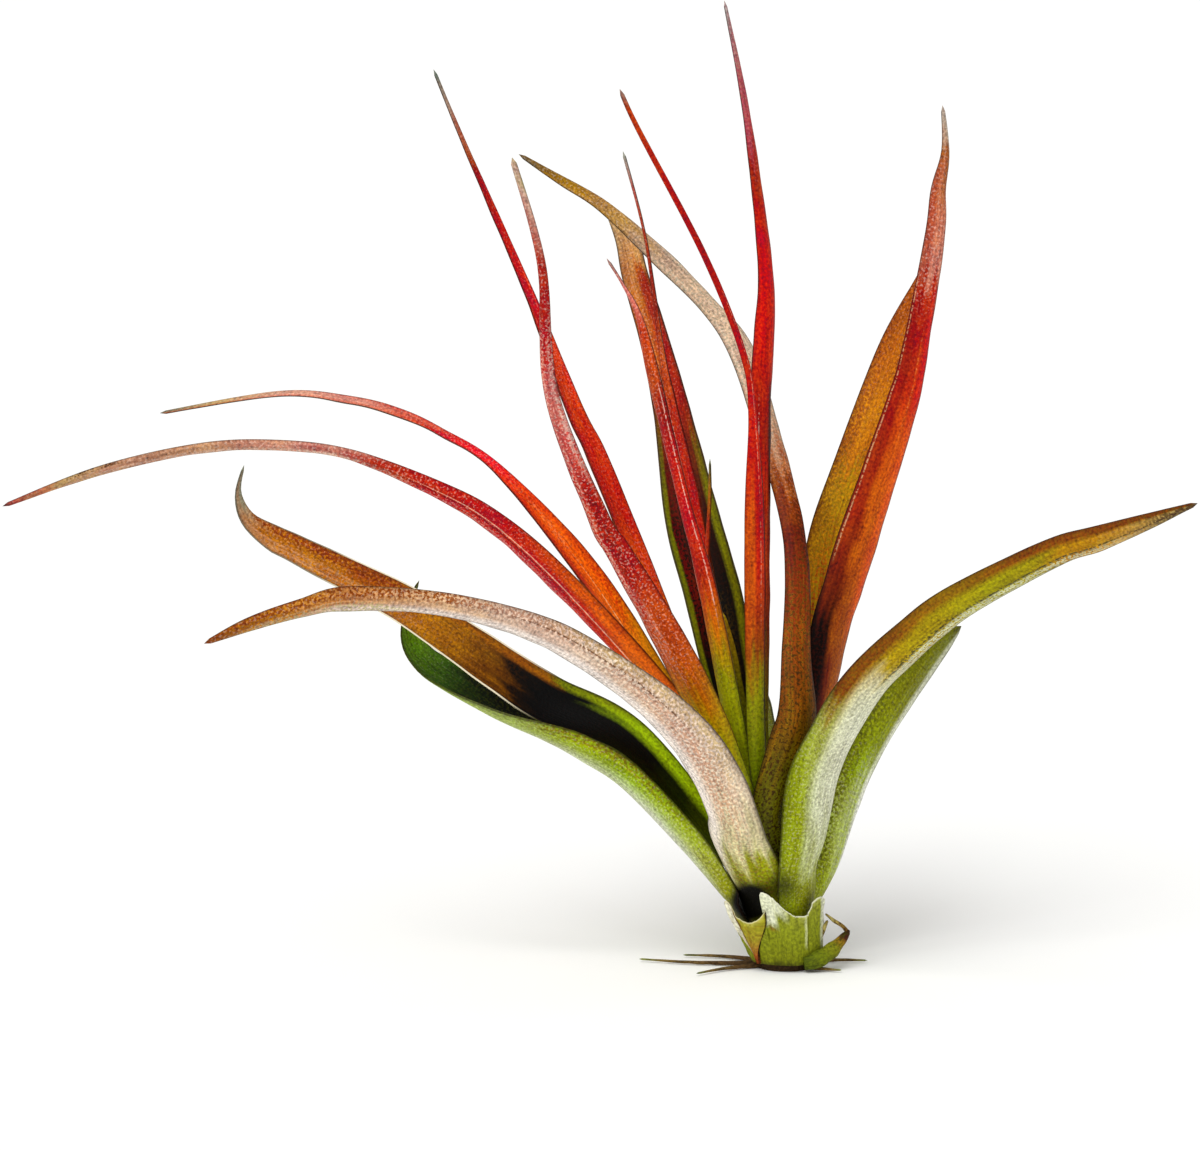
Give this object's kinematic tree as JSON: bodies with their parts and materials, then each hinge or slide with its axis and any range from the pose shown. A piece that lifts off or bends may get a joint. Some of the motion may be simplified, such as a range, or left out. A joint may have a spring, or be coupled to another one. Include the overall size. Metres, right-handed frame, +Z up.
{
  "type": "air plant",
  "caption": "Rosette of long channelled leaves, green at the foot and red above, arching left and right from a short rooted stem.",
  "frame": {"origin": "middle of the stem's flat foot, on the surface that the plant stands on", "axes": "+Z up, +X to the plant's right as pictured, -Y its front"},
  "size_m": [0.179, 0.13, 0.1497],
  "materials": {
    "stem": "fibrous brown stem and wiry roots",
    "leaf_01_left_trough": "green with a pale silvery lower edge, fine pale speckle",
    "leaf_02_right_arch": "olive green with a brown upper edge and silvery bloom, fine pale speckle",
    "leaf_03_back_low": "olive green, fine pale speckle",
    "leaf_04_front_left_arch": "pinkish cream with olive and rust speckles, fine pale speckle",
    "leaf_05_right_low": "olive green with a pale right edge, fine pale speckle",
    "leaf_06_left_nested": "golden brown inner face, grey curled tip, fine pale speckle",
    "leaf_07_front_arch": "pale speckled cream turning rust brown, olive at the foot, fine pale speckle",
    "leaf_08_right_gold": "golden orange inner face with dark edges, fine pale speckle",
    "leaf_09_left_long": "crimson with a white midline and a salmon tip, fine pale speckle",
    "leaf_10_right_upright": "dark red and bright red halves, pale pink tip, fine pale speckle",
    "leaf_11_back_left": "olive brown, fine pale speckle",
    "leaf_12_front_left": "dark crimson to brown red, yellow green foot, fine pale speckle",
    "leaf_13_left_upper": "orange red with a khaki tip, fine pale speckle",
    "leaf_14_centre_front": "bright red and orange, green foot, fine pale speckle",
    "leaf_15_centre_broad": "rust with olive rims and a dark channel, fine pale speckle",
    "leaf_16_centre_edge": "red with white edge lines, yellow green foot, fine pale speckle",
    "leaf_17_tallest": "magenta crimson with a pale pink tip, fine pale speckle",
    "leaf_18_left_upright": "crimson to orange red, grey green tip, fine pale speckle",
    "leaf_19_small_green": "yellow green, fine pale speckle",
    "leaf_20_centre_slim": "red with a grey tip, fine pale speckle",
    "leaf_21_innermost": "orange red with a green grey tip, fine pale speckle",
    "old_sheath_front": "pale green and cream dried sheath with a torn rim",
    "old_sheath_back": "dry brown sheath with a torn rim",
    "dry_leaf_front": "yellow brown dry leaf with a rust tip",
    "green_stub_right": "olive stub with a brown pinched tip and a dry strand"
  },
  "bodies": {
    "root": {"stem": "stem", "leaf_01_left_trough": "leaf_01_left_trough", "leaf_02_right_arch": "leaf_02_right_arch", "leaf_03_back_low": "leaf_03_back_low", "leaf_04_front_left_arch": "leaf_04_front_left_arch", "leaf_05_right_low": "leaf_05_right_low", "leaf_06_left_nested": "leaf_06_left_nested", "leaf_07_front_arch": "leaf_07_front_arch", "leaf_08_right_gold": "leaf_08_right_gold", "leaf_09_left_long": "leaf_09_left_long", "leaf_10_right_upright": "leaf_10_right_upright", "leaf_11_back_left": "leaf_11_back_left", "leaf_12_front_left": "leaf_12_front_left", "leaf_13_left_upper": "leaf_13_left_upper", "leaf_14_centre_front": "leaf_14_centre_front", "leaf_15_centre_broad": "leaf_15_centre_broad", "leaf_16_centre_edge": "leaf_16_centre_edge", "leaf_17_tallest": "leaf_17_tallest", "leaf_18_left_upright": "leaf_18_left_upright", "leaf_19_small_green": "leaf_19_small_green", "leaf_20_centre_slim": "leaf_20_centre_slim", "leaf_21_innermost": "leaf_21_innermost", "old_sheath_front": "old_sheath_front", "old_sheath_back": "old_sheath_back", "dry_leaf_front": "dry_leaf_front", "green_stub_right": "green_stub_right"}
  },
  "joints": []
}
